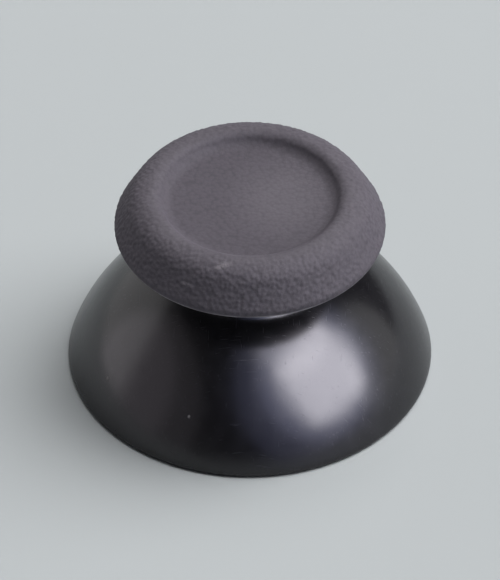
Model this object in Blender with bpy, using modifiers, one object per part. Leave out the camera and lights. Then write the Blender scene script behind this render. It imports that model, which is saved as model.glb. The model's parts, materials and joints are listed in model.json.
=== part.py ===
"""Thumbstick cap: a hard bell-shaped moulding on a hollow neck, with a soft grip moulded over its head.

Metres, +Z up. The cap stands on the rim of its bell, and the stick's axis is the Z axis.
Inside the bell a hub takes the flatted shaft of the stick: a boss, a ring round it, four
spokes between them, and eight thin ribs from the ring out to the wall of the bell.
"""

import math

import bmesh
import bpy

MM = 0.001

# Heights of the whole cap, from the top down
TOTAL_HEIGHT = 14.3 * MM
GRIP_HEIGHT = 3.2 * MM  # crest of the soft grip down to its lower edge
NECK_HEIGHT = 3.05 * MM  # that edge down to where the sphere of the bell would reach the neck's radius

# Bell, the skirt that covers the hole in the controller's face
BELL_DIAMETER = 24.5 * MM
BELL_WALL = 1.0 * MM
LIP_HEIGHT = 0.3 * MM  # upright land at the foot of the sphere
RIM_ROUNDING = 0.25 * MM

# Neck, the flare above it, and the disc inside the grip
NECK_WALL = 1.05 * MM
NECK_FILLET = 1.1 * MM
SEAM_LAND = 0.15 * MM  # upright edge of the hard flare, just under the seam
CORE_LEDGE = 0.8 * MM  # width of the ledge that the grip's lower edge sits on
CORE_ROUNDING = 0.4 * MM

# Soft grip
HEAD_DIAMETER = 18.0 * MM
GRIP_EDGE = 0.5 * MM  # rounding of the grip's lower edge
GRIP_WALL = 1.0 * MM  # under the middle of the dish
GRIP_CLEARANCE = 0.3 * MM  # between the grip and the disc in it
CREST_INSET = 2.5 * MM  # head's outside in to the crest of the raised ring
CROWN_ROUNDING = 1.8 * MM  # outer side of that ring
DISH_RUN = 1.4 * MM  # crest in to the edge of the dish
DISH_DEPTH = 0.85 * MM  # crest down to that edge
DISH_HOLLOW = 0.5 * MM  # bend at that edge
DISH_SAG = 0.2 * MM  # and from that edge down to the dish's middle

# Socket for the stick's shaft, which has two flats
SHAFT_DIAMETER = 4.0 * MM
SHAFT_ACROSS_FLATS = 3.4 * MM
SHAFT_CLEARANCE = 0.05 * MM  # each side
SHAFT_ENGAGEMENT = 6.0 * MM
SOCKET_WEB = 1.75 * MM  # left between the socket and the top of the disc
SOCKET_CHAMFER = 0.3 * MM

# Hub inside the bell
BOSS_WALL = 1.05 * MM
POCKET_WIDTH = 1.05 * MM
POCKET_WEB = 1.85 * MM  # left between the pockets and the top of the disc
POCKET_ROUNDING = 0.3 * MM
RING_WALL = 0.5 * MM
HUB_FILLET = 0.4 * MM  # where the ring's outside meets the bell
SPOKE_WIDTH = 0.9 * MM
SPOKE_COUNT = 4

# Ribs
RIB_COUNT = 8
RIB_THICKNESS = 0.5 * MM
RIB_DROP = 0.15 * MM  # crest behind the ring's end face
RIB_FALL = 1.25 * MM  # from there down to where the crest reaches the bell

# Fineness of the surfaces
TURNS = 64
FILLET_POINTS = 4
BELL_POINTS = 12
CROWN_POINTS = 6
CUT_OVERRUN = 1.0 * MM  # cutters pass the face that they open by this much
MERGE_DISTANCE = 0.001 * MM

# Heights that follow from those above
SEAM_HEIGHT = TOTAL_HEIGHT - GRIP_HEIGHT
BELL_HEIGHT = SEAM_HEIGHT - NECK_HEIGHT
LEDGE_Z = SEAM_HEIGHT - GRIP_CLEARANCE
CORE_TOP_Z = TOTAL_HEIGHT - DISH_DEPTH - DISH_SAG - GRIP_WALL - GRIP_CLEARANCE
POCKET_TOP_Z = CORE_TOP_Z - POCKET_WEB
SOCKET_TOP_Z = CORE_TOP_Z - SOCKET_WEB
HUB_END_Z = SOCKET_TOP_Z - SHAFT_ENGAGEMENT
RIB_CREST_Z = HUB_END_Z + RIB_DROP
RIB_END_Z = RIB_CREST_Z - RIB_FALL

# Distances from the axis that follow from those above
BELL_R = BELL_DIAMETER / 2
SOCKET_R = SHAFT_DIAMETER / 2 + SHAFT_CLEARANCE
SOCKET_FLAT = SHAFT_ACROSS_FLATS / 2 + SHAFT_CLEARANCE
BOSS_R = SOCKET_R + BOSS_WALL
POCKET_R = BOSS_R + POCKET_WIDTH
RING_R = POCKET_R + RING_WALL
NECK_R = POCKET_R + NECK_WALL
HEAD_R = HEAD_DIAMETER / 2
SEAM_R = HEAD_R - GRIP_EDGE
CORE_R = SEAM_R - CORE_LEDGE
CREST_R = HEAD_R - CREST_INSET
DISH_R = CREST_R - DISH_RUN

# The bell is a sphere on the axis, through the top of the lip and the foot of the neck
SPHERE_Z = (NECK_R**2 + BELL_HEIGHT**2 - BELL_R**2 - LIP_HEIGHT**2) / (2 * (BELL_HEIGHT - LIP_HEIGHT))
SPHERE_R = math.hypot(BELL_R, LIP_HEIGHT - SPHERE_Z)
INNER_R = SPHERE_R - BELL_WALL
MIDDLE_R = SPHERE_R - BELL_WALL / 2


def arc(centre, radius, start, end, points):
    """Points on a circle in the section, as (distance from the axis, height), ends included."""
    angles = [start + (end - start) * i / (points - 1) for i in range(points)]
    return [(centre[0] + radius * math.cos(a), centre[1] + radius * math.sin(a)) for a in angles]


def fillet(before, corner, after, radius):
    """The arc that rounds a corner of the section, from one straight side to the next."""
    arms = []
    for end in (before, after):
        length = math.dist(corner, end)
        arms.append(((end[0] - corner[0]) / length, (end[1] - corner[1]) / length))
    half = math.acos(arms[0][0] * arms[1][0] + arms[0][1] * arms[1][1]) / 2
    middle = (arms[0][0] + arms[1][0], arms[0][1] + arms[1][1])
    reach = radius / math.sin(half) / math.hypot(*middle)
    centre = (corner[0] + middle[0] * reach, corner[1] + middle[1] * reach)
    along = radius / math.tan(half)
    touches = [(corner[0] + arm[0] * along, corner[1] + arm[1] * along) for arm in arms]
    start, end = (math.atan2(p[1] - centre[1], p[0] - centre[0]) for p in touches)
    turn = (end - start + math.pi) % (2 * math.pi) - math.pi
    return arc(centre, radius, start, start + turn, FILLET_POINTS)


def sphere_angle(height, radius):
    """Angle above the horizontal at which a sphere round the bell's centre reaches a height."""
    return math.asin((height - SPHERE_Z) / radius)


def bell_height(distance, radius):
    """Height of a sphere round the bell's centre at a distance from the axis."""
    return SPHERE_Z + math.sqrt(radius**2 - distance**2)


def body_section():
    """Half section of the hard moulding with its hub still solid, down the outside and up the inside."""
    core_corner = (CORE_R, CORE_TOP_Z)
    points = [(0, CORE_TOP_Z)]
    points += fillet((0, CORE_TOP_Z), core_corner, (CORE_R, LEDGE_Z), CORE_ROUNDING)
    points += [(CORE_R, LEDGE_Z), (SEAM_R, LEDGE_Z)]

    # The flare runs straight from the seam and touches the fillet of the neck, which touches the sphere
    flare_start = (SEAM_R, LEDGE_Z - SEAM_LAND)
    fillet_r = NECK_R + NECK_FILLET
    fillet_z = SPHERE_Z + math.sqrt((SPHERE_R + NECK_FILLET) ** 2 - fillet_r**2)
    away = math.atan2(flare_start[1] - fillet_z, flare_start[0] - fillet_r)
    distance = math.hypot(flare_start[0] - fillet_r, flare_start[1] - fillet_z)
    flare_touch = away + math.acos(NECK_FILLET / distance)
    sphere_touch = math.atan2(fillet_z - SPHERE_Z, fillet_r)
    points.append(flare_start)
    points += arc((fillet_r, fillet_z), NECK_FILLET, flare_touch, math.pi + sphere_touch, 2 * FILLET_POINTS)
    lip_angle = sphere_angle(LIP_HEIGHT, SPHERE_R)
    points += arc((0, SPHERE_Z), SPHERE_R, sphere_touch, lip_angle, BELL_POINTS)[1:]

    # Rim: both edges rounded, and a flat ring between them
    inner_foot_z = RIM_ROUNDING
    inner_foot_r = math.sqrt(INNER_R**2 - (inner_foot_z - SPHERE_Z) ** 2)
    points += fillet((BELL_R, LIP_HEIGHT), (BELL_R, 0), (0, 0), RIM_ROUNDING)
    points += fillet((BELL_R, 0), (inner_foot_r, 0), (inner_foot_r, LIP_HEIGHT), RIM_ROUNDING)

    # Inside of the bell up to the hub's ring, and the hub's end face
    ceiling = (RING_R, bell_height(RING_R, INNER_R))
    ceiling_side_r = RING_R + 3 * HUB_FILLET
    ceiling_side = (ceiling_side_r, bell_height(ceiling_side_r, INNER_R))
    corner = fillet(ceiling_side, ceiling, (RING_R, HUB_END_Z), HUB_FILLET)
    foot_angle = sphere_angle(inner_foot_z, INNER_R)
    corner_angle = math.atan2(corner[0][1] - SPHERE_Z, corner[0][0])
    points += arc((0, SPHERE_Z), INNER_R, foot_angle, corner_angle, BELL_POINTS)[1:-1]
    points += corner
    points += [(RING_R, HUB_END_Z), (0, HUB_END_Z)]
    return points


def grip_section():
    """Half section of the soft grip: dish, crown, side and lower edge, then up round the disc in it."""
    dish_edge_z = TOTAL_HEIGHT - DISH_DEPTH
    dish_bend = (DISH_R**2 + DISH_SAG**2) / (2 * DISH_SAG)
    dish_angle = math.asin(DISH_R / dish_bend)
    dish_centre = (0, dish_edge_z - DISH_SAG + dish_bend)
    points = arc(dish_centre, dish_bend, -math.pi / 2, dish_angle - math.pi / 2, FILLET_POINTS)[:-1]

    # A hollow bend and the crest's inner bend make one slope from the dish's edge up to the crest
    slope = 2 * math.atan(DISH_DEPTH / DISH_RUN)
    hollow_centre = (DISH_R, dish_edge_z + DISH_HOLLOW)
    points += arc(hollow_centre, DISH_HOLLOW, -math.pi / 2, slope - math.pi / 2, FILLET_POINTS)[:-1]
    inner_bend = DISH_RUN / math.sin(slope) - DISH_HOLLOW
    inner_centre = (CREST_R, TOTAL_HEIGHT - inner_bend)
    points += arc(inner_centre, inner_bend, math.pi / 2 + slope, math.pi / 2, CROWN_POINTS)[:-1]

    # The side is the straight line that touches the crest's outer bend and the lower edge's
    crown_centre = (CREST_R, TOTAL_HEIGHT - CROWN_ROUNDING)
    edge_centre = (SEAM_R, SEAM_HEIGHT + GRIP_EDGE)
    down = math.atan2(edge_centre[1] - crown_centre[1], edge_centre[0] - crown_centre[0])
    lean = down + math.acos((CROWN_ROUNDING - GRIP_EDGE) / math.dist(crown_centre, edge_centre))
    points += arc(crown_centre, CROWN_ROUNDING, math.pi / 2, lean, CROWN_POINTS)
    points += arc(edge_centre, GRIP_EDGE, lean, -math.pi / 2, 2 * FILLET_POINTS)

    # The cavity is the disc's outline, larger by the clearance
    cavity_r = CORE_R + GRIP_CLEARANCE
    cavity_z = CORE_TOP_Z + GRIP_CLEARANCE
    points.append((cavity_r, SEAM_HEIGHT))
    rounding = CORE_ROUNDING + GRIP_CLEARANCE
    points += fillet((cavity_r, SEAM_HEIGHT), (cavity_r, cavity_z), (0, cavity_z), rounding)
    points.append((0, cavity_z))
    return points


def add_turned(name, section, collection):
    """A solid turned about Z from its half section."""
    mesh = bpy.data.meshes.new(name)
    turned = bpy.data.objects.new(name, mesh)
    collection.objects.link(turned)
    bm = bmesh.new()
    vertices = [bm.verts.new((distance, 0, height)) for distance, height in section]
    for first, second in zip(vertices, vertices[1:]):
        bm.edges.new((first, second))
    bm.to_mesh(mesh)
    bm.free()
    screw = turned.modifiers.new("turn", "SCREW")
    screw.axis = "Z"
    screw.steps = TURNS
    screw.render_steps = TURNS
    screw.use_merge_vertices = True
    screw.merge_threshold = MERGE_DISTANCE
    screw.use_smooth_shade = True
    return turned


def add_cutter(name, bm, collection):
    """A guide that a Boolean uses and that isn't part of the object."""
    mesh = bpy.data.meshes.new(name)
    bmesh.ops.recalc_face_normals(bm, faces=bm.faces)
    bm.to_mesh(mesh)
    bm.free()
    cutter = bpy.data.objects.new(name, mesh)
    collection.objects.link(cutter)
    hide_guide(cutter)
    return cutter


def hide_guide(guide):
    guide.hide_render = True
    guide.display_type = "WIRE"


def apply_boolean(target, cutter, operation):
    boolean = target.modifiers.new(cutter.name, "BOOLEAN")
    boolean.operation = operation
    boolean.solver = "EXACT"
    boolean.object = cutter


def box_mesh(size, centre):
    """A box of a given size about a given centre."""
    bm = bmesh.new()
    bmesh.ops.create_cube(bm, size=1)
    bmesh.ops.scale(bm, vec=size, verts=bm.verts)
    bmesh.ops.translate(bm, vec=centre, verts=bm.verts)
    return bm


def cone_mesh(bottom_r, top_r, bottom_z, top_z):
    """A cone or cylinder on the axis, between two heights."""
    bm = bmesh.new()
    bmesh.ops.create_cone(
        bm, cap_ends=True, segments=TURNS, radius1=bottom_r, radius2=top_r, depth=top_z - bottom_z
    )
    bmesh.ops.translate(bm, vec=(0, 0, (bottom_z + top_z) / 2), verts=bm.verts)
    return bm


def add_rib(index, collection):
    """A thin web in the bell, from the hub's ring to the wall, buried to mid-wall at both ends."""
    buried_r = RING_R - RING_WALL / 2
    wall_angle = sphere_angle(RIB_END_Z, MIDDLE_R)
    top_angle = math.acos(buried_r / MIDDLE_R)
    outline = [(buried_r, RIB_CREST_Z)]
    outline += arc((0, SPHERE_Z), MIDDLE_R, wall_angle, top_angle, BELL_POINTS)
    bm = bmesh.new()
    face = bm.faces.new([bm.verts.new((distance, -RIB_THICKNESS / 2, height)) for distance, height in outline])
    side = bmesh.ops.extrude_face_region(bm, geom=[face])
    moved = [item for item in side["geom"] if isinstance(item, bmesh.types.BMVert)]
    bmesh.ops.translate(bm, vec=(0, RIB_THICKNESS, 0), verts=moved)
    rib = add_cutter(f"rib_{index + 1}", bm, collection)
    rib.rotation_euler.z = 2 * math.pi * index / RIB_COUNT
    return rib


def add_pockets(collection):
    """The four pockets between boss and ring: a turned ring, less the spokes that cross it."""
    inner_r = BOSS_R
    outer_r = POCKET_R
    mouth_z = HUB_END_Z - CUT_OVERRUN
    inner_top = (inner_r, POCKET_TOP_Z)
    outer_top = (outer_r, POCKET_TOP_Z)
    section = fillet((inner_r, mouth_z), inner_top, outer_top, POCKET_ROUNDING)
    section += fillet(inner_top, outer_top, (outer_r, mouth_z), POCKET_ROUNDING)
    section += [(outer_r, mouth_z), (inner_r, mouth_z), section[0]]
    pockets = add_turned("hub_pockets", section, collection)
    hide_guide(pockets)
    weld = pockets.modifiers.new("close", "WELD")
    weld.merge_threshold = MERGE_DISTANCE
    height = POCKET_TOP_Z - mouth_z + 2 * CUT_OVERRUN
    centre = (0, 0, (POCKET_TOP_Z + mouth_z) / 2)
    for index in range(SPOKE_COUNT // 2):
        bm = box_mesh((2 * RING_R, SPOKE_WIDTH, height), centre)
        spoke = add_cutter(f"spokes_{index + 1}", bm, collection)
        spoke.rotation_euler.z = 2 * math.pi * index / SPOKE_COUNT
        apply_boolean(pockets, spoke, "DIFFERENCE")
    return pockets


def add_socket(collection):
    """The blind hole for the shaft: round, with a flat towards +X and one towards -X."""
    bottom_z = HUB_END_Z - CUT_OVERRUN
    socket = add_cutter("shaft_socket", cone_mesh(SOCKET_R, SOCKET_R, bottom_z, SOCKET_TOP_Z), collection)
    size = (2 * SOCKET_FLAT, 4 * SOCKET_R, 2 * SOCKET_TOP_Z)
    flats = add_cutter("shaft_flats", box_mesh(size, (0, 0, SOCKET_TOP_Z)), collection)
    apply_boolean(socket, flats, "INTERSECT")
    return socket


def add_chamfer(collection):
    """A 45 degree lead-in at the mouth of the socket, deep enough to reach its flats."""
    face_r = SOCKET_R + SOCKET_CHAMFER
    tip_r = SOCKET_FLAT - SHAFT_CLEARANCE
    tip_z = HUB_END_Z + face_r - tip_r
    bm = cone_mesh(face_r + SOCKET_CHAMFER, tip_r, HUB_END_Z - SOCKET_CHAMFER, tip_z)
    return add_cutter("socket_chamfer", bm, collection)


def make_material(name, colour, roughness):
    material = bpy.data.materials.new(name)
    material.use_nodes = True
    shader = material.node_tree.nodes["Principled BSDF"]
    shader.inputs["Base Color"].default_value = (*colour, 1)
    shader.inputs["Roughness"].default_value = roughness
    shader.inputs["Metallic"].default_value = 0
    return material


def build_body(parts, cutters):
    body = add_turned("cap_body", body_section(), parts)
    for index in range(RIB_COUNT):
        apply_boolean(body, add_rib(index, cutters), "UNION")
    apply_boolean(body, add_pockets(cutters), "DIFFERENCE")
    apply_boolean(body, add_socket(cutters), "DIFFERENCE")
    apply_boolean(body, add_chamfer(cutters), "DIFFERENCE")
    body.data.materials.append(make_material("hard_black_plastic", (0.012, 0.011, 0.014), 0.22))
    return body


def build_grip(parts):
    grip = add_turned("rubber_grip", grip_section(), parts)
    grip.data.materials.append(make_material("soft_grey_rubber", (0.075, 0.068, 0.08), 0.85))
    return grip


def main():
    for item in list(bpy.data.objects):
        bpy.data.objects.remove(item, do_unlink=True)
    parts = bpy.data.collections.new("thumbstick_cap")
    cutters = bpy.data.collections.new("cutters")
    for collection in (parts, cutters):
        bpy.context.scene.collection.children.link(collection)
    build_body(parts, cutters)
    build_grip(parts)


main()
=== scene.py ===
"""Thumbstick cap: a glossy black bell on a short neck, and a stippled soft grip over its head.

Everything is in metres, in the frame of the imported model: the rim of the bell stands on z = 0
and the stick's axis is the Z axis.
"""

import json
import math

import bmesh
import bpy
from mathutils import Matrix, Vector


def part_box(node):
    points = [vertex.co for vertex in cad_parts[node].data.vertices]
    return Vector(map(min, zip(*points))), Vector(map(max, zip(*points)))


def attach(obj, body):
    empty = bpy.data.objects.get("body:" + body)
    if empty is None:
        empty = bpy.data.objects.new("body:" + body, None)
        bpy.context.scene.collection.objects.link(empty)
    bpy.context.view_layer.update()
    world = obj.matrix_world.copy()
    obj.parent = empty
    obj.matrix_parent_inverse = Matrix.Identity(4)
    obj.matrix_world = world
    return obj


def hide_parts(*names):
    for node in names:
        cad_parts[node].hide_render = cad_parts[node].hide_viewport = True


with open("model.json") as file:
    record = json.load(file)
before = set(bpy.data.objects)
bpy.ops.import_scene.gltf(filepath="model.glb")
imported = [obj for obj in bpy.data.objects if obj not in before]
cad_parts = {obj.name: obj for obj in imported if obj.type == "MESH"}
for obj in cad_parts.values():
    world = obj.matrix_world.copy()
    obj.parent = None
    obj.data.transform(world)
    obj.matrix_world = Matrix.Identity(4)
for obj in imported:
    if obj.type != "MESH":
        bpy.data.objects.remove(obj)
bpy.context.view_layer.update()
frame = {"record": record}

MM = 0.001

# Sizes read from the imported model
BODY_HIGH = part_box("cap_body")[1]
GRIP_LOW, GRIP_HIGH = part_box("rubber_grip")
MOUNTS = {mount["name"]: mount for mount in frame["record"]["mounts"]}
BELL_R = BODY_HIGH.x
DISC_TOP_Z = BODY_HIGH.z
HEAD_R = GRIP_HIGH.x
SEAM_Z = GRIP_LOW.z
TOP_Z = GRIP_HIGH.z
HUB_END_Z = MOUNTS["hub_face"]["pos_m"][2]

# Bell and neck
NECK_HEIGHT = 3.05 * MM
BELL_WALL = 1.0 * MM
LIP_HEIGHT = 0.3 * MM
RIM_ROUNDING = 0.25 * MM
NECK_R = 5.2 * MM
NECK_FILLET = 1.1 * MM
SEAM_GAP = 0.03 * MM
SEAM_LAND = 0.16 * MM
LAND_ROUNDING = 0.05 * MM
DISC_LEDGE = 0.8 * MM
DISC_ROUNDING = 0.4 * MM

# Soft grip
GRIP_EDGE = 0.5 * MM
GRIP_CLEARANCE = 0.3 * MM
CREST_INSET = 2.5 * MM
CREST_ROUNDING = 1.8 * MM
DISH_RUN = 1.5 * MM
DISH_DEPTH = 0.85 * MM
DISH_HOLLOW = 1.0 * MM
DISH_SAG = 0.2 * MM

# Hub, ribs and socket inside the bell
RING_R = 4.65 * MM
POCKET_R = 4.15 * MM
BOSS_R = 3.1 * MM
POCKET_TOP_Z = DISC_TOP_Z - 1.85 * MM
SOCKET_TOP_Z = DISC_TOP_Z - 1.75 * MM
SOCKET_R = 2.05 * MM
SOCKET_FLAT = 1.75 * MM
SOCKET_CHAMFER = 0.3 * MM
SPOKE_HALF = 0.45 * MM
RIB_HALF = 0.25 * MM
RIB_CREST_Z = HUB_END_Z + 0.15 * MM
RIB_END_Z = RIB_CREST_Z - 1.25 * MM
HUB_FILLET = 0.4 * MM
HUB_FILLET_SIDE = 1.2 * MM
EDGE_ROUNDING = 0.07 * MM
RIB_ROUNDING = 0.13 * MM

# Edges that turn by more than these angles, in degrees, are rounded or stay sharp
END_FACE_TURN = 30
RIB_CREST_TURN = 50
BODY_SHARP_TURN = 32
GRIP_SHARP_TURN = 60

# Fineness of the spun skins: steps round the axis, and points on the arcs of their outlines
BODY_STEPS = 256
GRIP_STEPS = 704
PEBBLE_PITCH = 0.075 * MM
LEAST_POINTS = 4
FILLET_POINTS = 5
LAND_POINTS = 3
FLARE_POINTS = 4
NECK_POINTS = 16
BELL_POINTS = 36
FOOT_POINTS = 12
CEILING_POINTS = 24
DISH_POINTS = 24
DISH_WALL_POINTS = 8
BEVEL_SEGMENTS = 3

# Distances below which vertices are one, and places count as the same
MERGE = 0.001 * MM
NEAR = 0.02 * MM

# Arms inside the bell, and how many grid steps each takes from its middle
RIB_COUNT = 8
RIB_STEPS = 2
SPOKE_COUNT = 4
SPOKE_STEPS = 5
FLAT_COUNT = 2
FLAT_STEPS = 22

# Pebbles moulded into the soft grip, and the smooth band above its lower edge
PEBBLE_SIZE = 0.28 * MM
PEBBLE_DEPTH = 0.08 * MM
PEBBLE_FADE = 0.5 * MM
SMOOTH_BAND = 0.1 * MM

# Wear on the grip's near ridge, as (place, half sizes, turn about the axis) in mm and degrees
SCUFFS = (
    ((-1.75, -6.98, 14.16), (0.8, 0.32, 0.4), 15),
    ((-4.25, -7.36, 12.8), (0.75, 0.3, 0.16), -22),
)

# Painted light towards the right of the dish, as (place, half sizes, turn) in mm and degrees; the rest of the
# dish gets painted shade
DISH_LIGHT_SPOT = ((2.4, 0.6, 13.4), (4.6, 5, 4), 0)

# Colours, as red, green, blue and opacity
MOULDING_BLACKS = ((0.0055, 0.005, 0.0068, 1), (0.0085, 0.0078, 0.0098, 1))
WORN_BLACK = (0.016, 0.015, 0.018, 1)
DUST_GREY = (0.2, 0.19, 0.185, 1)
GRIP_CHARCOALS = ((0.082, 0.073, 0.088, 1), (0.102, 0.091, 0.107, 1))
GRAIN_GREY = (0.15, 0.14, 0.155, 1)
# Painted shade in the grooves between the pebbles
PEBBLE_GROOVE_SHADE = (0.03, 0.027, 0.033, 1)
HANDLED_GREY = (0.125, 0.117, 0.13, 1)
# Painted sheen on the grip's lower edge, standing in for the light that edge catches
EDGE_SHEEN_GREY = (0.3, 0.285, 0.305, 1)
# Painted light on the right of the dish, and painted shade over the rest of it
DISH_LIGHT_GREY = (0.16, 0.148, 0.165, 1)
DISH_SHADE_GREY = (0.05, 0.045, 0.053, 1)
SCUFF_GREY = (0.24, 0.22, 0.24, 1)
FLOOR_GREYS = ((0.44, 0.465, 0.475, 1), (0.455, 0.48, 0.49, 1))
STUDIO_WHITE = (0.97, 0.98, 1, 1)

# How much of each colour shows on the grip, painted shade, light and sheen among them
GRAIN_SHARE = 0.22
GROOVE_SHADE_SHARE = 0.3
HANDLED_SHARE = 0.3
EDGE_SHEEN_SHARE = 0.9
DISH_LIGHT_SHARE = 0.28
DISH_SHADE_SHARE = 0.3
SCUFF_SHARE = 0.6

# Patterns of the materials: sizes of their clouds and grains, and depths of the bumps that they make
WAVE_SIZE = 2.4 * MM
WAVE_DEPTH = 0.006 * MM
HAZE_SIZE = 0.9 * MM
HAZE_DEPTH = 0.0006 * MM
RIM_WEAR_SIZE = 0.7 * MM
MOTTLE_SIZE = 1.9 * MM
GRAIN_SIZE = 0.07 * MM
GRAIN_DEPTH = 0.014 * MM
SCUFF_GRAIN_SIZE = 0.12 * MM
DIMPLE_DEPTH = 0.025 * MM
FLOOR_CLOUD_SIZE = 30 * MM

# Middle part of the values that a pattern takes, over which clouds change
CLOUD_RANGE = (0.3, 0.7)

# Values of its pattern at which each mark starts to show and is full
RIM_WEAR_RANGE = (0.35, 0.65)
GRAIN_RANGE = (0.42, 0.62)
GROOVE_SHADE_RANGE = (0.45, 0.85)
SCUFF_RANGE = (0.3, 0.55)
EDGE_SHEEN_RANGE = (0.35, 0.6)

# Share of the handling and of the painted sheen on the lower edge that stays where the mottling is weakest
HANDLED_LEAST = 0.4
EDGE_SHEEN_LEAST = 0.3

# Hairlines in the plastic's gloss, as (stretch, turn in degrees, where in the noise they start and are full)
HAIR_SIZE = 0.05 * MM
HAIR_DEPTH = 0.0006 * MM
HAIRS = (
    ((40, 1, 6), (24, 0, 58), (0.71, 0.77)),
    ((1, 55, 8), (0, 32, -25), (0.72, 0.78)),
)

# Roughness and shine, and what hairlines, wear, dust and handling add to the roughness or take from it
PLASTIC_ROUGHNESS = (0.2, 0.25)
PLASTIC_IOR = 1.5
HAIR_ROUGHNESS = 0.1
WORN_ROUGHNESS = 0.18
DUST_ROUGHNESS = 0.6
RUBBER_ROUGHNESS = (0.7, 0.8)
RUBBER_SHINE = 0.15
HANDLED_ROUGHNESS = 0.1
FLOOR_ROUGHNESS = 0.85
FLOOR_SHINE = 0.05

# Heights above the rim where its wear fades, and above the seam where the painted sheen on the grip's lower
# edge starts and ends, and how far out from the crest handling shows
RIM_WEAR = (0.12 * MM, 0.5 * MM)
EDGE_SHEEN_START = (0.1 * MM, 0.18 * MM)
EDGE_SHEEN_END = (0.26 * MM, 0.36 * MM)
HANDLED_BAND = 1.5 * MM

# Share of a spot's size that is full
SPOT_CORE = 0.3

# Dust on the bell, as (place, radius) in mm, and how flat and turned each speck is
SPECK_FLATNESS = 0.8
SPECK_TURN = 30
DUST = (
    ((-9.48, -5.7, 2.89), 0.16),
    ((-4.02, -9.95, 3.41), 0.13),
    ((-10.9, 1.2, 2.2), 0.08),
    ((5.3, -8.4, 4.6), 0.06),
    ((8.1, 6.9, 3.7), 0.08),
    ((-3.2, 10.4, 3.1), 0.07),
)

# Camera, as the photograph's view: angle above the rim's plane, distance, focal length in mm, height
# aimed at, and how near and far it sees
CAMERA_ELEVATION = 42.4
CAMERA_DISTANCE = 0.345
CAMERA_LENS = 320
CAMERA_AIM_Z = 5.6 * MM
CAMERA_CLIP = (0.01, 20)

# Studio: floor, light that comes from all round, and how bright the studio beyond the floor looks
FLOOR_SIZE = 12
STUDIO_LIGHT = 0.06
STUDIO_LOOK = 0.55

# Lamps stand at one distance. Each is given by its name, shape, azimuth and elevation, size in degrees,
# radiance, colour, and what it lights: the gloss, the colours or both
LAMP_DISTANCE = 1.6
WHITE = (1, 1, 1)
LAMPS = (
    ("window_0", "SQUARE", (60, 36), 44, 6, (1, 0.96, 1), "gloss"),
    ("window_1", "DISK", (60, 38), 58, 3.8, (0.98, 0.95, 1.02), "gloss"),
    ("window_2", "DISK", (60, 64), 42, 2.6, (1, 0.96, 1), "gloss"),
    ("window_3", "DISK", (55, 38), 72, 1.5, (0.78, 0.82, 1.2), "gloss"),
    ("window_4", "DISK", (50, 36), 96, 0.5, (0.7, 0.76, 1.3), "gloss"),
    ("window_soft", "DISK", (110, 52), 49, 4.9, WHITE, "colours"),
    ("top_softbox", "DISK", (155, 68), 49, 2.5, WHITE, "both"),
    ("right_softbox", "DISK", (96, 16), 50, 0.9, WHITE, "both"),
    ("left_softbox", "DISK", (276, 14), 60, 0.34, (1, 0.9, 1.02), "gloss"),
    ("left_glow", "DISK", (284, 12), 84, 0.3, (1, 0.92, 1.02), "gloss"),
    ("back_softbox", "DISK", (240, 8), 62, 0.5, WHITE, "both"),
    ("back_glow", "DISK", (236, 2), 84, 0.4, (1, 0.97, 1), "gloss"),
)

# Heights and distances that follow
BELL_Z = SEAM_Z - NECK_HEIGHT
SEAM_R = HEAD_R - GRIP_EDGE
DISC_R = SEAM_R - DISC_LEDGE
CREST_R = HEAD_R - CREST_INSET
DISH_R = CREST_R - DISH_RUN
SPHERE_Z = (NECK_R**2 + BELL_Z**2 - BELL_R**2 - LIP_HEIGHT**2) / (2 * (BELL_Z - LIP_HEIGHT))
SPHERE_R = math.hypot(BELL_R, LIP_HEIGHT - SPHERE_Z)
INNER_R = SPHERE_R - BELL_WALL
RIB_END_R = math.sqrt(INNER_R**2 - (RIB_END_Z - SPHERE_Z) ** 2)
FOOT_R = math.sqrt(INNER_R**2 - (RIM_ROUNDING - SPHERE_Z) ** 2)


def arc(centre, radius, start, end, points):
    """Points on a circle in the outline, as (distance from the axis, height), ends included."""
    angles = [start + (end - start) * i / (points - 1) for i in range(points)]
    return [(centre[0] + radius * math.cos(a), centre[1] + radius * math.sin(a)) for a in angles]


def fillet(before, corner, after, radius, points=FILLET_POINTS):
    """The arc that rounds a corner of the outline, from one straight side to the next."""
    arms = []
    for end in (before, after):
        length = math.dist(corner, end)
        arms.append(((end[0] - corner[0]) / length, (end[1] - corner[1]) / length))
    half = math.acos(arms[0][0] * arms[1][0] + arms[0][1] * arms[1][1]) / 2
    middle = (arms[0][0] + arms[1][0], arms[0][1] + arms[1][1])
    reach = radius / math.sin(half) / math.hypot(*middle)
    centre = (corner[0] + middle[0] * reach, corner[1] + middle[1] * reach)
    along = radius / math.tan(half)
    touches = [(corner[0] + arm[0] * along, corner[1] + arm[1] * along) for arm in arms]
    start, end = (math.atan2(p[1] - centre[1], p[0] - centre[0]) for p in touches)
    turn = (end - start + math.pi) % (2 * math.pi) - math.pi
    return arc(centre, radius, start, start + turn, points)


def straight(start, end, points):
    """Points between two ends of a straight side, ends left out."""
    return [
        (start[0] + (end[0] - start[0]) * i / (points + 1), start[1] + (end[1] - start[1]) * i / (points + 1))
        for i in range(1, points + 1)
    ]


def inner_height(distance):
    """Height of the bell's inside at a distance from the axis."""
    return SPHERE_Z + math.sqrt(INNER_R**2 - distance**2)


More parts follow.
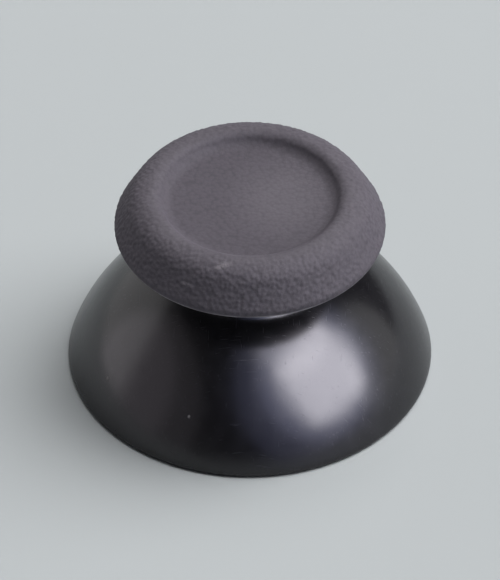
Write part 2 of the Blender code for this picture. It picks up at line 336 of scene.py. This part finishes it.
def body_outline():
    """Outline of the hard moulding, from the top of its disc down the outside and up into the socket."""
    land_top = SEAM_Z - SEAM_GAP
    land_foot = (SEAM_R, land_top - SEAM_LAND)
    points = [(0, DISC_TOP_Z)]
    points += fillet((0, DISC_TOP_Z), (DISC_R, DISC_TOP_Z), (DISC_R, land_top), DISC_ROUNDING)
    points.append((DISC_R, land_top))
    points += fillet((DISC_R, land_top), (SEAM_R, land_top), land_foot, LAND_ROUNDING, LAND_POINTS)

    # The flare touches the neck's fillet, which touches the sphere of the bell
    fillet_r = NECK_R + NECK_FILLET
    fillet_z = SPHERE_Z + math.sqrt((SPHERE_R + NECK_FILLET) ** 2 - fillet_r**2)
    away = math.atan2(land_foot[1] - fillet_z, land_foot[0] - fillet_r)
    distance = math.hypot(land_foot[0] - fillet_r, land_foot[1] - fillet_z)
    flare_touch = away + math.acos(NECK_FILLET / distance)
    sphere_touch = math.atan2(fillet_z - SPHERE_Z, fillet_r)
    neck = arc((fillet_r, fillet_z), NECK_FILLET, flare_touch, math.pi + sphere_touch, NECK_POINTS)
    points += fillet((SEAM_R, land_top), land_foot, neck[0], LAND_ROUNDING, LAND_POINTS)
    points += straight(points[-1], neck[0], FLARE_POINTS)
    points += neck
    lip_angle = math.asin((LIP_HEIGHT - SPHERE_Z) / SPHERE_R)
    points += arc((0, SPHERE_Z), SPHERE_R, sphere_touch, lip_angle, BELL_POINTS)[1:]

    # Rim, then the inside of the bell, closest where the ribs run out
    points += fillet((BELL_R, LIP_HEIGHT), (BELL_R, 0), (0, 0), RIM_ROUNDING)
    points += fillet((BELL_R, 0), (FOOT_R, 0), (FOOT_R, LIP_HEIGHT), RIM_ROUNDING)
    end_angle = math.atan2(RIB_END_Z - SPHERE_Z, RIB_END_R)
    foot_angle = math.atan2(RIM_ROUNDING - SPHERE_Z, FOOT_R)
    points += arc((0, SPHERE_Z), INNER_R, foot_angle, end_angle, FOOT_POINTS)[1:]

    # Up to the hub's ring and down its outside to its end face
    ceiling = (RING_R, inner_height(RING_R))
    beyond = RING_R + HUB_FILLET_SIDE
    ceiling_side = (beyond, inner_height(beyond))
    corner = fillet(ceiling_side, ceiling, (RING_R, HUB_END_Z), HUB_FILLET)
    corner_angle = math.atan2(corner[0][1] - SPHERE_Z, corner[0][0])
    points += arc((0, SPHERE_Z), INNER_R, end_angle, corner_angle, CEILING_POINTS)[1:-1]
    points += corner
    points += [(RING_R, RIB_CREST_Z), (RING_R, HUB_END_Z), (POCKET_R, HUB_END_Z), (BOSS_R, HUB_END_Z)]

    # Chamfer, wall and top of the socket
    points.append((SOCKET_R + SOCKET_CHAMFER, HUB_END_Z))
    points.append((SOCKET_R, HUB_END_Z + SOCKET_CHAMFER))
    points += [(SOCKET_R, SOCKET_TOP_Z), (0, SOCKET_TOP_Z)]
    return points


def grip_outline():
    """Outline of the soft grip: dish, crest, side and lower edge, then up round the disc in it."""
    edge_z = TOP_Z - DISH_DEPTH
    bend = (DISH_R**2 + DISH_SAG**2) / (2 * DISH_SAG)
    half = math.asin(DISH_R / bend)
    middle = (0, edge_z - DISH_SAG + bend)
    points = arc(middle, bend, -math.pi / 2, half - math.pi / 2, DISH_POINTS)[:-1]
    slope = 2 * math.atan(DISH_DEPTH / DISH_RUN)
    hollow = (DISH_R, edge_z + DISH_HOLLOW)
    points += arc(hollow, DISH_HOLLOW, -math.pi / 2, slope - math.pi / 2, DISH_WALL_POINTS)[:-1]
    inner = DISH_RUN / math.sin(slope) - DISH_HOLLOW
    points += fine_arc((CREST_R, TOP_Z - inner), inner, math.pi / 2 + slope, math.pi / 2)[:-1]
    crest = (CREST_R, TOP_Z - CREST_ROUNDING)
    edge = (SEAM_R, SEAM_Z + GRIP_EDGE)
    down = math.atan2(edge[1] - crest[1], edge[0] - crest[0])
    lean = down + math.acos((CREST_ROUNDING - GRIP_EDGE) / math.dist(crest, edge))
    outer = fine_arc(crest, CREST_ROUNDING, math.pi / 2, lean)
    lower = fine_arc(edge, GRIP_EDGE, lean, -math.pi / 2)
    side = round(math.dist(outer[-1], lower[0]) / PEBBLE_PITCH)
    points += outer + straight(outer[-1], lower[0], side - 1) + lower
    cavity = (DISC_R + GRIP_CLEARANCE, DISC_TOP_Z + GRIP_CLEARANCE)
    points.append((cavity[0], SEAM_Z))
    points += fillet((cavity[0], SEAM_Z), cavity, (0, cavity[1]), DISC_ROUNDING + GRIP_CLEARANCE)
    points.append((0, cavity[1]))
    return points


def fine_arc(centre, radius, start, end):
    """An arc with a point for each pitch of the stipple."""
    points = max(LEAST_POINTS, round(abs(end - start) * radius / PEBBLE_PITCH) + 1)
    return arc(centre, radius, start, end, points)


def spin_skin(name, outline, steps):
    """A closed skin: one vertex is drawn out along the outline and the outline is spun about the axis."""
    bpy.ops.object.select_all(action="DESELECT")
    bpy.ops.mesh.primitive_plane_add(size=MM)
    skin = bpy.context.object
    skin.name = skin.data.name = name
    bpy.ops.object.mode_set(mode="EDIT")
    bpy.ops.mesh.select_mode(type="VERT")
    bpy.ops.mesh.select_all(action="SELECT")
    bpy.ops.mesh.merge(type="CENTER")
    bpy.ops.transform.translate(value=(outline[0][0], 0, outline[0][1]))
    for here, there in zip(outline, outline[1:]):
        step = (there[0] - here[0], 0, there[1] - here[1])
        bpy.ops.mesh.extrude_vertices_move(TRANSFORM_OT_translate={"value": step})
    bpy.ops.mesh.select_all(action="SELECT")
    bpy.ops.mesh.spin(steps=steps, angle=2 * math.pi, center=(0, 0, 0), axis=(0, 0, 1))
    bpy.ops.mesh.select_all(action="SELECT")
    bpy.ops.mesh.remove_doubles(threshold=MERGE)
    bpy.ops.mesh.normals_make_consistent(inside=False)
    bpy.ops.mesh.select_all(action="DESELECT")
    bpy.ops.object.mode_set(mode="OBJECT")
    return skin


def slide_angle(angle, repeats, kept_steps, kept_angle):
    """Slides a grid line sideways. A line a few steps from the middle of an arm ends at a set angle."""
    sector = 2 * math.pi / repeats
    step = 2 * math.pi / BODY_STEPS
    offset = (angle + sector / 2) % sector - sector / 2
    kept = kept_steps * step
    if abs(offset) <= kept:
        moved = abs(offset) / kept * kept_angle
    else:
        moved = kept_angle + (abs(offset) - kept) / (sector / 2 - kept) * (sector / 2 - kept_angle)
    return angle - offset + math.copysign(moved, offset)


def shape_hub(body):
    """Slides the spun grid onto the sides of the ribs, spokes and flats."""
    bm = bmesh.from_edit_mesh(body.data)
    step = 2 * math.pi / BODY_STEPS
    for vertex in bm.verts:
        x, y, z = vertex.co
        distance = math.hypot(x, y)
        angle = math.atan2(y, x)
        if distance < NEAR:
            continue
        if distance > RING_R - NEAR and z > RIM_ROUNDING + NEAR and on_bell_side(distance, z):
            held = math.asin(RIB_HALF / distance)
            if distance > RIB_END_R:
                free = (distance - RIB_END_R) / (FOOT_R - RIB_END_R)
                held += (RIB_STEPS * step - held) * min(1, free)
            angle = slide_angle(angle, RIB_COUNT, RIB_STEPS, held)
        elif abs(z - HUB_END_Z) < NEAR and BOSS_R - NEAR < distance < POCKET_R + NEAR:
            angle = slide_angle(angle, SPOKE_COUNT, SPOKE_STEPS, math.asin(SPOKE_HALF / distance))
        elif distance < SOCKET_R + NEAR and HUB_END_Z + NEAR < z < SOCKET_TOP_Z + NEAR:
            angle = slide_angle(angle, FLAT_COUNT, FLAT_STEPS, math.acos(SOCKET_FLAT / SOCKET_R))
            if abs(math.cos(angle)) > SOCKET_FLAT / SOCKET_R:
                distance = SOCKET_FLAT / abs(math.cos(angle))
            if z < SOCKET_TOP_Z - NEAR:
                z = HUB_END_Z + SOCKET_R + SOCKET_CHAMFER - distance
        vertex.co = (distance * math.cos(angle), distance * math.sin(angle), z)
    bmesh.update_edit_mesh(body.data)


def on_bell_side(distance, z):
    """True on the inside of the bell and on the outer wall of the hub's ring above the ribs' crest."""
    on_wall = distance < RING_R + HUB_FILLET and RIB_CREST_Z - NEAR < z < inner_height(RING_R) + NEAR
    on_sphere = distance > RING_R + NEAR and abs(math.hypot(distance, z - SPHERE_Z) - INNER_R) < NEAR
    return on_wall or on_sphere


def select_faces(body, wanted):
    """Selects the faces whose middle passes a test."""
    bpy.ops.mesh.select_mode(type="FACE")
    bpy.ops.mesh.select_all(action="DESELECT")
    bm = bmesh.from_edit_mesh(body.data)
    for face in bm.faces:
        face.select_set(wanted(face.calc_center_median()))
    bm.select_flush_mode()
    bmesh.update_edit_mesh(body.data)


def select_edges(body, wanted):
    """Selects the edges that pass a test."""
    bpy.ops.mesh.select_mode(type="EDGE")
    bpy.ops.mesh.select_all(action="DESELECT")
    bm = bmesh.from_edit_mesh(body.data)
    bm.normal_update()
    for edge in bm.edges:
        edge.select_set(wanted(edge))
    bm.select_flush_mode()
    bmesh.update_edit_mesh(body.data)


def turn_offset(point, repeats):
    """Signed distance of a point sideways from the nearest of the repeated arms."""
    sector = 2 * math.pi / repeats
    angle = math.atan2(point.y, point.x)
    offset = (angle + sector / 2) % sector - sector / 2
    return math.hypot(point.x, point.y) * math.sin(offset)


def raise_ribs(body):
    """Extrudes the ribs' strips out of the bell's inside, down to their straight crests."""
    def in_strip(middle):
        distance = math.hypot(middle.x, middle.y)
        return (
            abs(turn_offset(middle, RIB_COUNT)) < RIB_HALF
            and RING_R - NEAR < distance < RIB_END_R
            and on_bell_side(distance, middle.z)
            and middle.z > RIB_END_Z
        )

    select_faces(body, in_strip)
    bpy.ops.mesh.extrude_region_move(TRANSFORM_OT_translate={"value": (0, 0, 0)})
    bm = bmesh.from_edit_mesh(body.data)
    fall = (RIB_CREST_Z - RIB_END_Z) / (RIB_END_R - RING_R)
    for vertex in bm.verts:
        if vertex.select:
            distance = vertex.co.xy.length
            along = max(0, distance - RING_R)
            vertex.co.z = min(vertex.co.z, RIB_CREST_Z - along * fall)
    bmesh.update_edit_mesh(body.data)
    bpy.ops.mesh.select_all(action="SELECT")
    bpy.ops.mesh.remove_doubles(threshold=MERGE)


def sink_pockets(body):
    """Extrudes the four pockets between boss and ring up into the neck."""
    def in_pocket(middle):
        distance = math.hypot(middle.x, middle.y)
        return (
            BOSS_R - NEAR < distance < POCKET_R
            and abs(middle.z - HUB_END_Z) < NEAR
            and abs(turn_offset(middle, SPOKE_COUNT)) > SPOKE_HALF
        )

    select_faces(body, in_pocket)
    bpy.ops.mesh.extrude_region_move(TRANSFORM_OT_translate={"value": (0, 0, POCKET_TOP_Z - HUB_END_Z)})


def round_edges(body):
    """Rounds the edges of the hub's end face and the crests of the ribs."""
    def on_end_face(edge):
        flat = all(abs(vertex.co.z - HUB_END_Z) < NEAR for vertex in edge.verts)
        return flat and len(edge.link_faces) == 2 and edge.calc_face_angle() > math.radians(END_FACE_TURN)

    def on_rib_crest(edge):
        if len(edge.link_faces) != 2 or not edge.is_convex:
            return False
        if edge.calc_face_angle() < math.radians(RIB_CREST_TURN):
            return False
        middle = (edge.verts[0].co + edge.verts[1].co) / 2
        distance = middle.xy.length
        beside = abs(abs(turn_offset(middle, RIB_COUNT)) - RIB_HALF) < NEAR
        return beside and RING_R < distance < RIB_END_R and middle.z > RIB_END_Z

    select_edges(body, on_rib_crest)
    bpy.ops.mesh.bevel(offset=RIB_ROUNDING, segments=BEVEL_SEGMENTS, clamp_overlap=False)
    select_edges(body, on_end_face)
    bpy.ops.mesh.bevel(offset=EDGE_ROUNDING, segments=BEVEL_SEGMENTS, clamp_overlap=False)


def make_body():
    """The hard moulding: bell, neck and disc, with the hub, ribs, pockets and socket inside."""
    body = spin_skin("hard_moulding", body_outline(), BODY_STEPS)
    bpy.ops.object.mode_set(mode="EDIT")
    shape_hub(body)
    raise_ribs(body)
    sink_pockets(body)
    round_edges(body)
    bpy.ops.mesh.select_all(action="SELECT")
    bpy.ops.mesh.normals_make_consistent(inside=False)
    bpy.ops.object.mode_set(mode="OBJECT")
    bpy.ops.object.shade_smooth_by_angle(angle=math.radians(BODY_SHARP_TURN))
    return body


def ramp(value, start, end):
    """0 up to the start, 1 from the end on."""
    return min(1, max(0, (value - start) / (end - start)))


def make_grip():
    """The soft grip, with pebbles pressed into its crest and side."""
    grip = spin_skin("soft_grip", grip_outline(), GRIP_STEPS)
    pebbled = grip.vertex_groups.new(name="pebbled")
    for vertex in grip.data.vertices:
        outwards = ramp(vertex.co.xy.length, CREST_R - 2 * PEBBLE_FADE, CREST_R + PEBBLE_FADE)
        upwards = ramp(vertex.co.z, SEAM_Z + SMOOTH_BAND, SEAM_Z + PEBBLE_FADE)
        if outwards * upwards > 0:
            pebbled.add([vertex.index], outwards * upwards, "REPLACE")
    pebbles = bpy.data.textures.new("grip_pebbles", "VORONOI")
    pebbles.noise_scale = PEBBLE_SIZE
    press = grip.modifiers.new("pebbles", "DISPLACE")
    press.texture = pebbles
    press.texture_coords = "LOCAL"
    press.vertex_group = "pebbled"
    press.mid_level = 0
    press.strength = -PEBBLE_DEPTH
    bpy.context.view_layer.objects.active = grip
    bpy.ops.object.modifier_apply(modifier="pebbles")
    bpy.ops.object.shade_smooth_by_angle(angle=math.radians(GRIP_SHARP_TURN))
    return grip


# Materials. Every pattern reads Object coordinates, in metres


class Finish:
    """A material in the making: its shader, and short ways to add the nodes that vary it."""

    def __init__(self, name):
        self.material = bpy.data.materials.new(name)
        self.material.use_nodes = True
        self.tree = self.material.node_tree
        self.shader = self.tree.nodes["Principled BSDF"]
        self.place = self.add("ShaderNodeTexCoord").outputs["Object"]

    def add(self, kind, **settings):
        """A node with some of its settings changed."""
        node = self.tree.nodes.new(kind)
        for name, value in settings.items():
            setattr(node, name, value)
        return node

    def set(self, name, value):
        """Sets a number or colour on the shader, or joins a varying value to it."""
        self.feed(self.shader.inputs[name], value)

    def feed(self, socket, value):
        """Sets a node's input, or joins another node's output to it."""
        if isinstance(value, bpy.types.NodeSocket):
            self.tree.links.new(value, socket)
        else:
            socket.default_value = value

    def noise(self, grain, detail=2, stretch=(1, 1, 1), turn=(0, 0, 0)):
        """Cloudy noise between 0 and 1, its clouds about a grain across and stretched along each axis."""
        mapping = self.add("ShaderNodeMapping")
        self.feed(mapping.inputs["Vector"], self.place)
        mapping.inputs["Rotation"].default_value = [math.radians(angle) for angle in turn]
        mapping.inputs["Scale"].default_value = [1 / (grain * length) for length in stretch]
        node = self.add("ShaderNodeTexNoise")
        self.feed(node.inputs["Vector"], mapping.outputs["Vector"])
        self.feed(node.inputs["Scale"], 1)
        self.feed(node.inputs["Detail"], detail)
        return node.outputs["Fac"]

    def cells(self, size):
        """Distance from the middle of each of many uneven cells, 0 at a middle and about 1 at a border."""
        node = self.add("ShaderNodeTexVoronoi")
        self.feed(node.inputs["Vector"], self.place)
        self.feed(node.inputs["Scale"], 1 / size)
        return node.outputs["Distance"]

    def spread(self, value, low, high, bottom=0, top=1):
        """Stretches a range of a value to another range, and stops at its ends."""
        node = self.add("ShaderNodeMapRange", clamp=True)
        ends = {"From Min": low, "From Max": high, "To Min": bottom, "To Max": top}
        for name, number in {"Value": value, **ends}.items():
            self.feed(node.inputs[name], number)
        return node.outputs["Result"]

    def work(self, operation, first, second):
        """Adds, multiplies or compares two values."""
        node = self.add("ShaderNodeMath", operation=operation)
        self.feed(node.inputs[0], first)
        self.feed(node.inputs[1], second)
        return node.outputs["Value"]

    def tint(self, amount, first, second):
        """Mixes two colours by an amount."""
        node = self.add("ShaderNodeMix", data_type="RGBA")
        self.feed(node.inputs[0], amount)
        self.feed(node.inputs[6], first)
        self.feed(node.inputs[7], second)
        return node.outputs[2]

    def height(self):
        """Height above the rim's plane."""
        node = self.add("ShaderNodeSeparateXYZ")
        self.feed(node.inputs["Vector"], self.place)
        return node.outputs["Z"]

    def reach(self):
        """Distance from the stick's axis."""
        flat = self.add("ShaderNodeVectorMath", operation="MULTIPLY")
        self.feed(flat.inputs[0], self.place)
        flat.inputs[1].default_value = (1, 1, 0)
        node = self.add("ShaderNodeVectorMath", operation="LENGTH")
        self.feed(node.inputs[0], flat.outputs["Vector"])
        return node.outputs["Value"]

    def spot(self, place, half_sizes, turn=0):
        """1 at a place, falling to 0 at the edge of a small turned ellipsoid about it."""
        mapping = self.add("ShaderNodeMapping", vector_type="TEXTURE")
        self.feed(mapping.inputs["Vector"], self.place)
        mapping.inputs["Location"].default_value = [value * MM for value in place]
        mapping.inputs["Rotation"].default_value = (0, 0, math.radians(turn))
        mapping.inputs["Scale"].default_value = [value * MM for value in half_sizes]
        node = self.add("ShaderNodeVectorMath", operation="LENGTH")
        self.feed(node.inputs[0], mapping.outputs["Vector"])
        return self.spread(node.outputs["Value"], SPOT_CORE, 1, 1, 0)

    def bump(self, height, depth, under=None):
        """Raises the surface by a height from 0 to 1 times a depth, on top of another bump."""
        node = self.add("ShaderNodeBump")
        self.feed(node.inputs["Height"], height)
        self.feed(node.inputs["Distance"], depth)
        self.feed(node.inputs["Strength"], 1)
        if under:
            self.feed(node.inputs["Normal"], under)
        return node.outputs["Normal"]


def gloss_black_plastic():
    """Glossy black moulding: faint waves and hairlines in the gloss, a dulled rim, and dust."""
    finish = Finish("gloss_black_plastic")
    waves = finish.noise(WAVE_SIZE, detail=2)
    haze = finish.noise(HAZE_SIZE, detail=5)
    hairs = None
    for stretch, turn, limits in HAIRS:
        lines = finish.noise(HAIR_SIZE, detail=1, stretch=stretch, turn=turn)
        hair = finish.spread(lines, *limits)
        hairs = hair if hairs is None else finish.work("ADD", hairs, hair)
    rim = finish.spread(finish.height(), *RIM_WEAR, 1, 0)
    wear = finish.spread(finish.noise(RIM_WEAR_SIZE, detail=4), *RIM_WEAR_RANGE)
    worn_rim = finish.work("MULTIPLY", rim, wear)
    dust = None
    for place, radius in DUST:
        speck = finish.spot(place, (radius, radius * SPECK_FLATNESS, radius), SPECK_TURN)
        dust = speck if dust is None else finish.work("MAXIMUM", dust, speck)

    roughness = finish.spread(haze, *CLOUD_RANGE, *PLASTIC_ROUGHNESS)
    for mark, added in ((hairs, HAIR_ROUGHNESS), (worn_rim, WORN_ROUGHNESS), (dust, DUST_ROUGHNESS)):
        roughness = finish.work("ADD", roughness, finish.work("MULTIPLY", mark, added))
    black = finish.tint(haze, *MOULDING_BLACKS)
    black = finish.tint(worn_rim, black, WORN_BLACK)
    finish.set("Base Color", finish.tint(dust, black, DUST_GREY))
    finish.set("Roughness", roughness)
    finish.set("IOR", PLASTIC_IOR)
    waved = finish.bump(waves, WAVE_DEPTH)
    scored = finish.bump(hairs, -HAIR_DEPTH, waved)
    finish.set("Normal", finish.bump(haze, HAZE_DEPTH, scored))
    return finish.material


def charcoal_rubber():
    """Matt charcoal rubber: grain, pebbles with painted shade between them, a handled crest, painted light
    and shade in the dish, a painted sheen on the lower edge, and scuffs.
    """
    finish = Finish("charcoal_rubber")
    mottle = finish.noise(MOTTLE_SIZE, detail=4)
    grain = finish.noise(GRAIN_SIZE, detail=3)
    pebbles = finish.cells(PEBBLE_SIZE)
    reach = finish.reach()
    near_crest = finish.work(
        "MULTIPLY",
        finish.spread(reach, DISH_R, CREST_R, 0, 1),
        finish.spread(reach, CREST_R, CREST_R + HANDLED_BAND, 1, 0),
    )
    uneven = finish.spread(mottle, *CLOUD_RANGE, HANDLED_LEAST, 1)
    handled = finish.work("MULTIPLY", near_crest, uneven)
    scuffs = None
    for place, half_sizes, turn in SCUFFS:
        scuff = finish.spot(place, half_sizes, turn)
        scuffs = scuff if scuffs is None else finish.work("MAXIMUM", scuffs, scuff)
    broken = finish.spread(finish.noise(SCUFF_GRAIN_SIZE, detail=3), *SCUFF_RANGE)
    scuffs = finish.work("MULTIPLY", scuffs, broken)

    charcoal = finish.tint(mottle, *GRIP_CHARCOALS)
    pale_grains = finish.spread(grain, *GRAIN_RANGE, 0, GRAIN_SHARE)
    charcoal = finish.tint(pale_grains, charcoal, GRAIN_GREY)
    # Painted shade in the grooves between the pebbles
    between = finish.spread(pebbles, *GROOVE_SHADE_RANGE, 0, GROOVE_SHADE_SHARE)
    charcoal = finish.tint(between, charcoal, PEBBLE_GROOVE_SHADE)
    charcoal = finish.tint(finish.work("MULTIPLY", handled, HANDLED_SHARE), charcoal, HANDLED_GREY)
    height = finish.height()
    # Painted sheen: a pale band just above the seam, standing in for the light the lower edge catches
    edge = finish.work(
        "MULTIPLY",
        finish.spread(height, SEAM_Z + EDGE_SHEEN_START[0], SEAM_Z + EDGE_SHEEN_START[1], 0, EDGE_SHEEN_SHARE),
        finish.spread(height, SEAM_Z + EDGE_SHEEN_END[0], SEAM_Z + EDGE_SHEEN_END[1], 1, 0),
    )
    edge = finish.work("MULTIPLY", edge, finish.spread(mottle, *EDGE_SHEEN_RANGE, EDGE_SHEEN_LEAST, 1))
    charcoal = finish.tint(edge, charcoal, EDGE_SHEEN_GREY)
    # Painted light on the right of the dish, and painted shade over the rest of it
    in_dish = finish.spread(reach, DISH_R, CREST_R, 1, 0)
    dish_light = finish.spot(*DISH_LIGHT_SPOT)
    dish_shade = finish.work("MULTIPLY", in_dish, finish.work("SUBTRACT", 1, dish_light))
    charcoal = finish.tint(finish.work("MULTIPLY", dish_light, DISH_LIGHT_SHARE), charcoal, DISH_LIGHT_GREY)
    charcoal = finish.tint(finish.work("MULTIPLY", dish_shade, DISH_SHADE_SHARE), charcoal, DISH_SHADE_GREY)
    charcoal = finish.tint(finish.work("MULTIPLY", scuffs, SCUFF_SHARE), charcoal, SCUFF_GREY)
    finish.set("Base Color", charcoal)
    roughness = finish.spread(mottle, *CLOUD_RANGE, *RUBBER_ROUGHNESS)
    smoothed = finish.work("MULTIPLY", handled, HANDLED_ROUGHNESS)
    finish.set("Roughness", finish.work("SUBTRACT", roughness, smoothed))
    finish.set("Specular IOR Level", RUBBER_SHINE)
    dimpled = finish.bump(finish.work("MULTIPLY", pebbles, in_dish), -DIMPLE_DEPTH)
    finish.set("Normal", finish.bump(grain, GRAIN_DEPTH, dimpled))
    return finish.material


def pale_floor():
    """Smooth pale studio floor."""
    finish = Finish("pale_floor")
    clouds = finish.noise(FLOOR_CLOUD_SIZE, detail=3)
    finish.set("Base Color", finish.tint(clouds, *FLOOR_GREYS))
    finish.set("Roughness", FLOOR_ROUGHNESS)
    finish.set("Specular IOR Level", FLOOR_SHINE)
    return finish.material


def aim(item, target):
    """Points a lamp or camera at a place, with its top upwards."""
    direction = Vector(target) - item.location
    item.rotation_euler = direction.to_track_quat("-Z", "Y").to_euler()


def add_lamp(name, shape, place, size, radiance, colour, lights):
    """A lamp aimed at the cap. Azimuth 0 is the camera's side and 90 its right."""
    around, up = (math.radians(angle) for angle in place)
    direction = Vector((math.cos(up) * math.sin(around), -math.cos(up) * math.cos(around), math.sin(up)))
    light = bpy.data.lights.new(name, "AREA")
    light.shape = shape
    light.size = 2 * LAMP_DISTANCE * math.tan(math.radians(size) / 2)
    area = light.size**2 if shape == "SQUARE" else math.pi * (light.size / 2) ** 2
    light.energy = radiance * math.pi * area
    light.color = colour
    lamp = bpy.data.objects.new(name, light)
    bpy.context.scene.collection.objects.link(lamp)
    middle = Vector((0, 0, TOP_Z / 2))
    lamp.location = middle + direction * LAMP_DISTANCE
    aim(lamp, middle)
    lamp.visible_diffuse = lights != "gloss"
    lamp.visible_glossy = lights != "colours"
    lamp.visible_camera = False


def make_stage():
    """Pale floor, soft light from behind and above, weaker light at the sides, and a window in the gloss."""
    bpy.ops.object.select_all(action="DESELECT")
    bpy.ops.mesh.primitive_plane_add(size=FLOOR_SIZE)
    floor = bpy.context.object
    floor.name = "floor"
    floor.data.materials.append(pale_floor())
    for lamp in LAMPS:
        add_lamp(*lamp)

    # The studio beyond the floor gives little light, and looks as pale as the floor
    world = bpy.data.worlds.new("studio")
    bpy.context.scene.world = world
    world.use_nodes = True
    nodes, links = world.node_tree.nodes, world.node_tree.links
    background = nodes["Background"]
    background.inputs["Color"].default_value = STUDIO_WHITE
    seen = nodes.new("ShaderNodeLightPath").outputs["Is Camera Ray"]
    strength = nodes.new("ShaderNodeMapRange")
    strength.inputs["To Min"].default_value = STUDIO_LIGHT
    strength.inputs["To Max"].default_value = STUDIO_LOOK
    links.new(seen, strength.inputs["Value"])
    links.new(strength.outputs["Result"], background.inputs["Strength"])


def make_camera():
    """The photograph's view: from far off, at its angle above the plane of the rim."""
    elevation = math.radians(CAMERA_ELEVATION)
    target = Vector((0, 0, CAMERA_AIM_Z))
    camera = bpy.data.objects.new("camera", bpy.data.cameras.new("camera"))
    bpy.context.scene.collection.objects.link(camera)
    camera.data.lens = CAMERA_LENS
    camera.data.clip_start, camera.data.clip_end = CAMERA_CLIP
    camera.location = target + CAMERA_DISTANCE * Vector((0, -math.cos(elevation), math.sin(elevation)))
    aim(camera, target)
    bpy.context.scene.camera = camera


body = make_body()
body.data.materials.append(gloss_black_plastic())
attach(body, "root")
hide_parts("cap_body")

grip = make_grip()
grip.data.materials.append(charcoal_rubber())
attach(grip, "root")
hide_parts("rubber_grip")

make_stage()
make_camera()
bpy.context.scene.view_settings.view_transform = "Standard"
